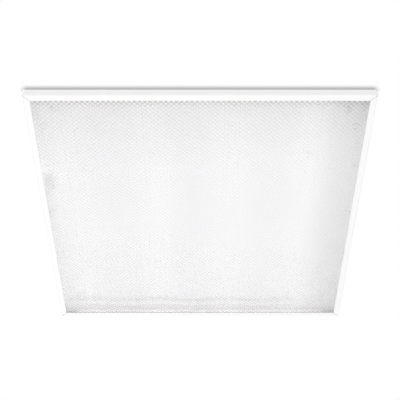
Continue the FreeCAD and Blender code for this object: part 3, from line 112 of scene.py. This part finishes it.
class Wire:
    """One socket of a node tree. Arithmetic on it adds Math nodes to that tree."""

    def __init__(self, tree, socket=None):
        self.tree = tree
        self.socket = socket

    def node(self, kind, settings=(), inputs=(), out=0):
        """Adds a node with its settings and the values or links of its inputs. Gives an output."""
        made = self.tree.nodes.new(kind)
        for name, value in dict(settings).items():
            setattr(made, name, value)
        for name, value in dict(inputs).items():
            socket = find_socket(made.inputs, name)
            if isinstance(value, Wire):
                self.tree.links.new(value.socket, socket)
            else:
                socket.default_value = value
        return Wire(self.tree, find_socket(made.outputs, out) if made.outputs else None)

    def out(self, name):
        """Another output of the same node."""
        return Wire(self.tree, find_socket(self.socket.node.outputs, name))

    def math(self, operation, *values):
        kind = "ShaderNodeMath"
        return self.node(kind, {"operation": operation}, enumerate((self, *values)))

    def __add__(self, other):
        return self.math("ADD", other)

    __radd__ = __add__

    def __sub__(self, other):
        return self.math("SUBTRACT", other)

    def __rsub__(self, other):
        return (self * -1) + other

    def __mul__(self, other):
        return self.math("MULTIPLY", other)

    __rmul__ = __mul__

    def __truediv__(self, other):
        return self.math("DIVIDE", other)

    def __pow__(self, other):
        return self.math("POWER", other)

    def __lt__(self, other):
        return self.math("LESS_THAN", other)

    def __gt__(self, other):
        return self.math("GREATER_THAN", other)

    def __abs__(self):
        return self.math("ABSOLUTE")

    def wrap(self, half):
        """The value folded into -half to half."""
        return self.math("WRAP", half, -half)

    def ease(self, start, end):
        """0 at start and before it, 1 at end and past it, with a smooth step between."""
        ends = {"Value": self, "From Min": start, "From Max": end}
        return self.node("ShaderNodeMapRange", {"interpolation_type": "SMOOTHSTEP"}, ends)

    def bell(self, centre, width):
        """1 at the centre, falling to 0 on both sides like a bell."""
        away = (self - centre) / width
        return (away * away * -1).math("EXPONENT")


def opaque(colour):
    return (*colour, 1) if isinstance(colour, tuple) else colour


def mix(wire, factor, first, second):
    """A colour between two colours."""
    inputs = {"Factor": factor, "A": opaque(first), "B": opaque(second)}
    return wire.node("ShaderNodeMix", {"data_type": "RGBA"}, inputs, "Result")


def place(wire):
    return wire.node("ShaderNodeTexCoord", out="Object")


def parts_of(wire, vector):
    """The x, y and z of a vector."""
    split = wire.node("ShaderNodeSeparateXYZ", (), {0: vector})
    return split, split.out("Y"), split.out("Z")


def farther(x, y):
    """The larger distance of two from the middle."""
    return abs(x).math("MAXIMUM", abs(y))


def stretched(wire, scale):
    return wire.node("ShaderNodeMapping", (), {"Vector": place(wire), "Scale": scale})


def noise(wire, scale, detail=2.0, where=None):
    inputs = {"Vector": where or place(wire), "Scale": scale, "Detail": detail}
    return wire.node("ShaderNodeTexNoise", (), inputs, "Fac")


def cells(wire, scale, out="Distance"):
    return wire.node("ShaderNodeTexVoronoi", (), {"Vector": place(wire), "Scale": scale}, out)


def bump(wire, height, strength, depth):
    inputs = {"Height": height, "Strength": strength, "Distance": depth}
    return wire.node("ShaderNodeBump", (), inputs)


def level(wire, value, low, high):
    """A value of 0 to 1 spread over low to high."""
    return wire.node("ShaderNodeMapRange", (), {"Value": value, "To Min": low, "To Max": high})


def finish(name, build):
    """A material named for one finish, whose build gives the inputs of its Principled shader."""
    made = bpy.data.materials.new(name)
    made.use_nodes = True
    made.node_tree.nodes.clear()
    wire = Wire(made.node_tree)
    shader = wire.node("ShaderNodeBsdfPrincipled", (), build(wire))
    wire.node("ShaderNodeOutputMaterial", (), {"Surface": shader})
    return made


def powder_coat(wire):
    """Satin white powder coat: fine orange peel, uneven gloss, painted shade along the mitre
    joints.
    """
    peel = noise(wire, 620, 1)
    x, y, z = parts_of(wire, place(wire))
    paint = mix(wire, noise(wire, 14, 3), (0.885, 0.885, 0.88), (0.91, 0.91, 0.907))
    mitre_shade = (abs(x) - abs(y)).bell(0, MITRE_LINE) * 0.75
    inputs = {
        "Base Color": mix(wire, mitre_shade, paint, (0.4, 0.36, 0.33)),
        "Roughness": level(wire, noise(wire, 90, 4), 0.34, 0.46),
        "Normal": bump(wire, peel, 0.18, 0.00006),
    }
    # Painted light: the rails' inner faces over the sheet glow with the lamp's light.
    inside = (z > SPACE_LOW) * (z < SPACE_HIGH) * (farther(x, y) < SPACE_HALF)
    return lit(wire, inputs, LAMP_WHITE, ON_RAIL, inside)


def coil_coat(wire):
    """White coil coating on sheet steel: faint roller lines along Y and a slight mottle."""
    lines = noise(wire, 60, 3, stretched(wire, (9, 0.25, 9)))
    tone = noise(wire, 9, 4) * 0.6 + lines * 0.4
    return {
        "Base Color": mix(wire, tone, (0.83, 0.835, 0.83), (0.88, 0.88, 0.873)),
        "Roughness": level(wire, noise(wire, 45, 5), 0.36, 0.52),
        "Normal": bump(wire, lines, 0.12, 0.00005),
    }


def zinc(wire, dark, light, smear):
    """Plated steel: small crystals of two tones, fine scratches, patches of dulled plating."""
    crystal = cells(wire, 420, "Color").math("ADD", 0)
    scratches = noise(wire, 900, 3, stretched(wire, (1, 8, 3)))
    dull = noise(wire, 120, 4).ease(0.45, 0.75)
    colour = mix(wire, crystal * 0.6 + scratches * 0.4, dark, light)
    return {
        "Base Color": mix(wire, dull * 0.7, colour, smear),
        "Metallic": 1.0,
        "Roughness": level(wire, dull * 0.6 + scratches * 0.4, 0.24, 0.5),
        "Normal": bump(wire, scratches, 0.15, 0.00003),
    }


def bright_zinc(wire):
    """Zinc plate. Ends of rivets and nuts over the sheet take the lamp's light, painted as
    emission.
    """
    inputs = zinc(wire, (0.55, 0.57, 0.59), (0.75, 0.76, 0.77), (0.48, 0.5, 0.52))
    x, y, z = parts_of(wire, place(wire))
    inside = (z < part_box("reflector_sheet")[1].z) * (farther(x, y) < METAL_HALF)
    return lit(wire, inputs, METAL_WHITE, ON_METAL, inside)


def yellow_zinc(wire):
    return zinc(wire, (0.62, 0.47, 0.2), (0.83, 0.69, 0.38), (0.7, 0.5, 0.42))


def spring_strip(wire):
    """Rolled spring steel: grain along the strip, a bluish temper tint in patches."""
    grain = noise(wire, 300, 4, stretched(wire, (6, 6, 0.3)))
    tint = noise(wire, 55, 3).ease(0.4, 0.8)
    steel = mix(wire, grain, (0.4, 0.41, 0.42), (0.6, 0.61, 0.62))
    return {
        "Base Color": mix(wire, tint * 0.5, steel, (0.36, 0.38, 0.45)),
        "Metallic": 1.0,
        "Roughness": level(wire, grain, 0.22, 0.42),
        "Normal": bump(wire, grain, 0.2, 0.00003),
    }


def moulding(wire, dark, light, rough, grain, depth):
    """Injection-moulded plastic: eroded grain of the mould, a slight flow mottle."""
    flow = noise(wire, 75, 3)
    skin = noise(wire, grain, 2)
    return {
        "Base Color": mix(wire, flow, dark, light),
        "Roughness": level(wire, skin * 0.5 + flow * 0.5, rough - 0.07, rough + 0.1),
        "Normal": bump(wire, skin, 0.3, depth),
    }


def white_nylon(wire):
    return moulding(wire, (0.8, 0.795, 0.77), (0.87, 0.865, 0.845), 0.45, 1900, 0.00003)


def black_nylon(wire):
    return moulding(wire, (0.045, 0.045, 0.047), (0.1, 0.1, 0.1), 0.42, 1500, 0.00004)


def gland_nylon(wire):
    """Grey nylon inside the frame. It shows through the sheet as a faint patch at its left. The
    lamp's light on it is painted as emission.
    """
    inputs = moulding(wire, (0.78, 0.78, 0.79), (0.85, 0.85, 0.86), 0.45, 1500, 0.00004)
    return lit(wire, inputs, GLAND_WHITE, ON_GLAND)


def driver_shell(wire):
    return moulding(wire, (0.74, 0.75, 0.74), (0.82, 0.83, 0.82), 0.55, 1300, 0.00009)


def terminal_grey(wire):
    return moulding(wire, (0.4, 0.41, 0.42), (0.47, 0.48, 0.49), 0.3, 2400, 0.00002)


def lever_plastic(wire):
    return moulding(wire, (0.05, 0.055, 0.06), (0.085, 0.09, 0.1), 0.32, 2400, 0.00002)


def lead_sheath(wire):
    """White soft sheath: faint drawing lines and a waxy, uneven gloss."""
    rings = noise(wire, 700, 2, stretched(wire, (1, 5, 1)))
    return {
        "Base Color": mix(wire, noise(wire, 60, 3), (0.8, 0.8, 0.78), (0.87, 0.87, 0.85)),
        "Roughness": level(wire, rings, 0.38, 0.55),
        "Normal": bump(wire, rings, 0.15, 0.00004),
    }


def earth_sheath(wire):
    """Green sheath with slanting yellow stripes."""
    x, y, z = parts_of(wire, place(wire))
    slant = (x + y * 0.7 + z * 0.5 + noise(wire, 200, 2) * 0.0003).wrap(0.0021)
    stripe = abs(slant).ease(0.00115, 0.00095)
    return {
        "Base Color": mix(wire, stripe, (0.04, 0.23, 0.055), (0.82, 0.66, 0.05)),
        "Roughness": level(wire, noise(wire, 300, 3), 0.35, 0.5),
        "Normal": bump(wire, noise(wire, 1200, 2), 0.15, 0.00003),
    }


def from_bar(wire):
    """How far a point lies from the middle line of the nearest LED bar, in x."""
    x = parts_of(wire, place(wire))[0]
    return (x - FIRST_BAR).wrap(BAR_PITCH / 2)


def from_chip(wire):
    """How far a point lies from the middle of the nearest LED package along its bar."""
    y = parts_of(wire, place(wire))[1]
    return (y - CHIP_PITCH / 2).wrap(CHIP_PITCH / 2)


def dimmed(wire, edge, full, loss):
    """1 from full on, less by the loss at the edge."""
    return wire.ease(edge, full) * loss + (1 - loss)


def painted_lamp_glow(wire):
    """How strongly the bars brighten the space over the sheet, painted as glow: four bands, dim at
    the rails and in the near right corner.
    """
    x, y = parts_of(wire, place(wire))[:2]
    bands = from_bar(wire).bell(0, BAND_WIDTH) * 0.1 + 0.9
    right = dimmed(x, FADE_EDGE, 0.19, 0.36)
    left = dimmed(x, -FADE_EDGE, -0.15, 0.07)
    ends = dimmed(abs(y), FADE_EDGE, 0.22, 0.11)
    near = dimmed(y, -FADE_EDGE, -0.1, 0.2)
    near_right = 1 - x.ease(0.18, 0.29) * y.ease(-0.18, -0.29) * 0.25
    return bands * right * left * ends * near * near_right


def lit(wire, inputs, colour, strength, where=1.0):
    """Adds the glow of the lamp as emission to a finish that faces the space over the sheet. On the
    LED packages it is their own light; elsewhere it is painted light of the bars.
    """
    inputs["Emission Color"] = mix(wire, painted_lamp_glow(wire) * where, (0.0, 0.0, 0.0), colour)
    inputs["Emission Strength"] = strength
    return inputs


def reflector_film(wire):
    """Matt white film behind the bars, with faint waves of its lamination and the bars' light
    painted on as emission.
    """
    waves = noise(wire, 26, 3, stretched(wire, (1, 0.4, 1)))
    inputs = {
        "Base Color": mix(wire, waves, (0.93, 0.93, 0.93), (0.96, 0.96, 0.96)),
        "Roughness": level(wire, noise(wire, 240, 3), 0.6, 0.75),
        "Normal": bump(wire, waves, 0.1, 0.0003),
    }
    return lit(wire, inputs, LAMP_WHITE, ON_FILM)


def bar_board(wire):
    """White solder mask over two strips of copper, with seams along and under the packages. The
    lamp's light on it is painted as emission.
    """
    seam = abs(from_bar(wire)).bell(0.0042, 0.0003) + abs(from_chip(wire)).bell(0, 0.0003)
    mask = noise(wire, 500, 2)
    inputs = {
        "Base Color": mix(wire, seam * 0.5 + mask * 0.2, (0.9, 0.91, 0.9), (0.72, 0.75, 0.7)),
        "Roughness": level(wire, mask, 0.3, 0.42),
        "Normal": bump(wire, seam * -0.5 + mask * 0.1, 0.4, 0.00005),
    }
    return lit(wire, inputs, BOARD_WHITE, ON_BOARD)


def led_package(wire):
    """White package with a round phosphor window in its face."""
    across, along = from_bar(wire), from_chip(wire)
    radius = (across * across + along * along).math("SQRT")
    window = radius.ease(0.00115, 0.00095)
    phosphor = mix(wire, noise(wire, 4000, 2), (0.86, 0.68, 0.2), (0.93, 0.8, 0.34))
    inputs = {
        "Base Color": mix(wire, window, (0.88, 0.88, 0.86), phosphor),
        "Roughness": level(wire, window, 0.45, 0.2),
        "Normal": bump(wire, window * -1, 0.5, 0.0001),
    }
    return lit(wire, inputs, PACKAGE_WHITE, ON_PACKAGE)


def prismatic_acrylic(wire):
    """Clear acrylic, slightly hazy, with painted shade in its grooves: most at two rails and the
    near left corner, and where the painted glow is weak.
    """
    haze = noise(wire, 35, 3)
    low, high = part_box("prismatic_diffuser")
    x, y, z = parts_of(wire, place(wire))
    groove = z.ease(low.z + PRISM_DEPTH * 0.45, low.z + PRISM_DEPTH) * (z < high.z - 0.0003)
    rail = abs(y).ease(0.266, 0.286)
    corner = x.ease(0.35, -0.28) * (y.ease(0.35, -0.3) * 0.8 + 0.2)
    # Painted shade: the grooves darken in the base colour where the glow is weak, near the near and
    # far rails, and at the near left corner.
    shade = groove * ((1.0 - painted_lamp_glow(wire)) * 0.25 + corner * 0.19 + rail * 0.75 + 0.03)
    clear = mix(wire, haze, (0.958, 0.955, 0.961), (0.983, 0.981, 0.987))
    return {
        "Base Color": mix(wire, shade, clear, (0.52, 0.47, 0.47)),
        "Roughness": level(wire, haze, 0.1, 0.16),
        "IOR": 1.49,
        "Transmission Weight": 0.8,
        "Normal": bump(wire, noise(wire, 900, 2), 0.08, 0.00004),
    }


FINISHES = {
    "frame_paint": powder_coat,
    "sheet_paint": coil_coat,
    "prismatic_acrylic": prismatic_acrylic,
    "reflector_film": reflector_film,
    "zinc_steel": bright_zinc,
    "spring_steel": spring_strip,
    "bar_board": bar_board,
    "led_phosphor": led_package,
    "white_moulding": white_nylon,
    "white_sheath": lead_sheath,
    "black_moulding": black_nylon,
    "driver_case": driver_shell,
    "block_grey": terminal_grey,
    "lever_grey": lever_plastic,
    "earth_insulation": earth_sheath,
    "brass_plate": yellow_zinc,
}
finishes = {slot: finish(slot, build) for slot, build in FINISHES.items()}
finishes["gland_nylon"] = finish("gland_nylon", gland_nylon)
SEEN_THROUGH_SHEET = {"lead_gland": "gland_nylon", "lead_clip": "gland_nylon"}
for subpart in frame["record"]["subparts"]:
    node = frame["nodes"][subpart["node"]]
    node.data.materials.clear()
    chosen = SEEN_THROUGH_SHEET.get(subpart["node"], subpart["material_slot"])
    node.data.materials.append(finishes[chosen])


def new_object(name, data):
    made = bpy.data.objects.new(name, data)
    bpy.context.scene.collection.objects.link(made)
    return made


def prism_tree():
    """A sheet with a flat back and a front of square pyramids turned by 45 degrees."""
    tree = bpy.data.node_groups.new("prism_sheet", "GeometryNodeTree")
    floats = ("Half Side", "Step", "Depth", "Thickness", "Back Height")
    for name in floats:
        tree.interface.new_socket(name, in_out="INPUT", socket_type="NodeSocketFloat")
    tree.interface.new_socket("Rows", in_out="INPUT", socket_type="NodeSocketInt")
    tree.interface.new_socket("Finish", in_out="INPUT", socket_type="NodeSocketMaterial")
    tree.interface.new_socket("Geometry", in_out="OUTPUT", socket_type="NodeSocketGeometry")
    given = Wire(tree).node("NodeGroupInput")
    half, step, depth, thickness = (given.out(name) for name in floats[:4])
    rows = given.out("Rows")
    sides = {"Size X": half * 2, "Size Y": half * 2, "Vertices X": rows, "Vertices Y": rows}
    points = given.node("GeometryNodeMeshGrid", (), sides)
    every_other = 1 - given.node("GeometryNodeInputIndex").math("MODULO", 2)
    shape = {"Vertices": 4, "Radius Top": 0.0, "Radius Bottom": step, "Depth": depth}
    pyramid = given.node("GeometryNodeMeshCone", {"fill_type": "NONE"}, shape)
    copies = {
        "Points": points,
        "Selection": every_other,
        "Instance": pyramid,
        "Rotation": (math.pi, 0, 0),
    }
    lattice = given.node("GeometryNodeInstanceOnPoints", (), copies)
    lattice = given.node("GeometryNodeRealizeInstances", (), {"Geometry": lattice})
    x, y = parts_of(given, given.node("GeometryNodeInputPosition"))[:2]
    outside = farther(x, y) > half
    cut = {"Geometry": lattice, "Selection": outside}
    lattice = given.node("GeometryNodeDeleteGeometry", {"domain": "FACE"}, cut)
    lattice = given.node(
        "GeometryNodeMergeByDistance", (), {"Geometry": lattice, "Distance": step * 0.01}
    )
    drop = given.node("ShaderNodeCombineXYZ", (), {"Z": depth - thickness})
    lattice = given.node("GeometryNodeSetPosition", (), {"Geometry": lattice, "Offset": drop})
    rim = given.node("GeometryNodeInputMeshEdgeNeighbors") < 1.5
    ring = given.node("GeometryNodeMeshToCurve", (), {"Mesh": lattice, "Selection": rim})
    back = given.node("GeometryNodeFillCurve", {"mode": "NGONS"}, {"Curve": ring})
    drawn = {"Mesh": lattice, "Selection": rim, "Offset Scale": 0.0}
    walls = given.node("GeometryNodeExtrudeMesh", {"mode": "EDGES"}, drawn)
    x, y = parts_of(given, given.node("GeometryNodeInputPosition"))[:2]
    flat = given.node("ShaderNodeCombineXYZ", (), {"X": x, "Y": y})
    raised = {"Geometry": walls, "Selection": walls.out("Top"), "Position": flat}
    walls = given.node("GeometryNodeSetPosition", (), raised)
    sheet = given.node("GeometryNodeJoinGeometry")
    for part in (walls, back):
        tree.links.new(part.socket, sheet.socket.node.inputs[0])
    sheet = given.node(
        "GeometryNodeMergeByDistance", (), {"Geometry": sheet, "Distance": step * 0.01}
    )
    lift = given.node("ShaderNodeCombineXYZ", (), {"Z": given.out("Back Height")})
    sheet = given.node("GeometryNodeSetPosition", (), {"Geometry": sheet, "Offset": lift})
    sheet = given.node("GeometryNodeRealizeInstances", (), {"Geometry": sheet})
    coat = {"Geometry": sheet, "Material": given.out("Finish")}
    sheet = given.node("GeometryNodeSetMaterial", (), coat)
    given.node("NodeGroupOutput", (), {"Geometry": sheet})
    return tree


def grown(name, tree, values):
    """A plain mesh made by a geometry tree from these values of its inputs."""
    holder = new_object(name, bpy.data.meshes.new(name + "_seed"))
    modifier = holder.modifiers.new("tree", "NODES")
    modifier.node_group = tree
    for item in tree.interface.items_tree:
        if item.in_out == "INPUT":
            modifier[item.identifier] = values[item.name]
    shown = holder.evaluated_get(bpy.context.evaluated_depsgraph_get())
    mesh = bpy.data.meshes.new_from_object(shown)
    holder.modifiers.clear()
    holder.data = mesh
    return holder


def face_outwards(mesh):
    shell = bmesh.new()
    shell.from_mesh(mesh)
    bmesh.ops.recalc_face_normals(shell, faces=shell.faces)
    for face in shell.faces:
        face.smooth = False
    shell.to_mesh(mesh)
    shell.free()


low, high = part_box("prismatic_diffuser")
sheet = grown(
    "prism_sheet",
    prism_tree(),
    {
        "Half Side": high.x,
        "Step": high.x / PRISM_STEPS,
        "Depth": PRISM_DEPTH,
        "Thickness": high.z - low.z,
        "Back Height": high.z,
        "Rows": 2 * PRISM_STEPS + 1,
        "Finish": finishes["prismatic_acrylic"],
    },
)
face_outwards(sheet.data)
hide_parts("prismatic_diffuser")
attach(sheet, "panel")


def plane(name, half, height, faces_down):
    """A square of the studio, which isn't part of the light."""
    corners = [(x * half, y * half, height) for x, y in ((-1, -1), (1, -1), (1, 1), (-1, 1))]
    order = (3, 2, 1, 0) if faces_down else (0, 1, 2, 3)
    mesh = bpy.data.meshes.new(name)
    mesh.from_pydata(corners, [], [order])
    made = new_object(name, mesh)
    return made


def ceiling_white():
    """White from below, with a painted shadow close to whatever stands on it by the near rail, and
    clear from above.
    """
    made = bpy.data.materials.new("ceiling_white")
    made.use_nodes = True
    made.node_tree.nodes.clear()
    wire = Wire(made.node_tree)
    reach = {"Distance": SHADOW_REACH}
    open_sky = wire.node("ShaderNodeAmbientOcclusion", {"samples": 32}, reach, "AO")
    y = parts_of(wire, place(wire))[1]
    shade = (1 - open_sky ** 1.1) * y.ease(SHADOW_STARTS, SHADOW_FULL)
    white = wire.node("ShaderNodeEmission", (), {"Color": 1 - shade, "Strength": 1.0})
    clear = wire.node("ShaderNodeBsdfTransparent")
    above = wire.node("ShaderNodeNewGeometry", out="Backfacing")
    both = wire.node("ShaderNodeMixShader", (), {0: above, 1: white, 2: clear})
    wire.node("ShaderNodeOutputMaterial", (), {"Surface": both})
    return made


def pale_floor(wire):
    """Pale grey, lifted towards white for the camera alone, so it adds no light."""
    seen = wire.node("ShaderNodeLightPath", out="Is Camera Ray")
    tone = noise(wire, 1.5, 3)
    return {
        "Base Color": mix(wire, tone, (0.84, 0.84, 0.84), (0.86, 0.86, 0.86)),
        "Roughness": 0.9,
        "Emission Color": mix(wire, seen, (0.0, 0.0, 0.0), (0.46, 0.46, 0.46)),
        "Emission Strength": 1.0,
    }


ceiling = plane("ceiling", CEILING_HALF, CEILING_HEIGHT, True)
ceiling.data.materials.append(ceiling_white())
for ray in ("diffuse", "glossy", "transmission", "shadow"):
    setattr(ceiling, "visible_" + ray, False)
floor = plane("floor", FLOOR_HALF, FLOOR_HEIGHT, False)
floor.data.materials.append(finish("pale_floor", pale_floor))
floor.visible_diffuse = False
floor.visible_transmission = False


def light_world(above, below):
    """Soft light from all round, stronger from below, and plain white to camera and gloss rays."""
    world = bpy.data.worlds.new("studio")
    bpy.context.scene.world = world
    world.use_nodes = True
    world.node_tree.nodes.clear()
    wire = Wire(world.node_tree)
    ray = wire.node("ShaderNodeLightPath", out="Is Camera Ray")
    seen = ray.math("MAXIMUM", ray.out("Is Glossy Ray"))
    seen = seen.math("MAXIMUM", ray.out("Is Transmission Ray"))
    height = parts_of(wire, wire.node("ShaderNodeTexCoord", out="Generated"))[2]
    strength = height.ease(0.7, -0.7) * (below - above) + above
    soft = wire.node("ShaderNodeBackground", (), {"Strength": strength, "Color": (1, 1, 1, 1)})
    white = wire.node("ShaderNodeBackground", (), {"Strength": 1.0, "Color": (1, 1, 1, 1)})
    both = wire.node("ShaderNodeMixShader", (), {0: seen, 1: soft, 2: white})
    wire.node("ShaderNodeOutputWorld", (), {"Surface": both})


def soft_box(name, at, watts, size):
    """A square lamp that faces the middle of the light."""
    data = bpy.data.lights.new(name, "AREA")
    data.energy = watts
    data.size = size
    lamp = new_object(name, data)
    lamp.location = at
    lamp.rotation_euler = (-Vector(at)).to_track_quat("-Z", "Y").to_euler()
    lamp.visible_camera = False


light_world(LIGHT_ABOVE, LIGHT_BELOW)
for box in SOFT_BOXES:
    soft_box(*box)

camera = new_object("camera", bpy.data.cameras.new("camera"))
camera.location = CAMERA_PLACE
camera.rotation_euler = (CAMERA_TILT, 0, 0)
camera.data.lens = CAMERA_LENS
bpy.context.scene.camera = camera
bpy.context.scene.view_settings.view_transform = "Standard"
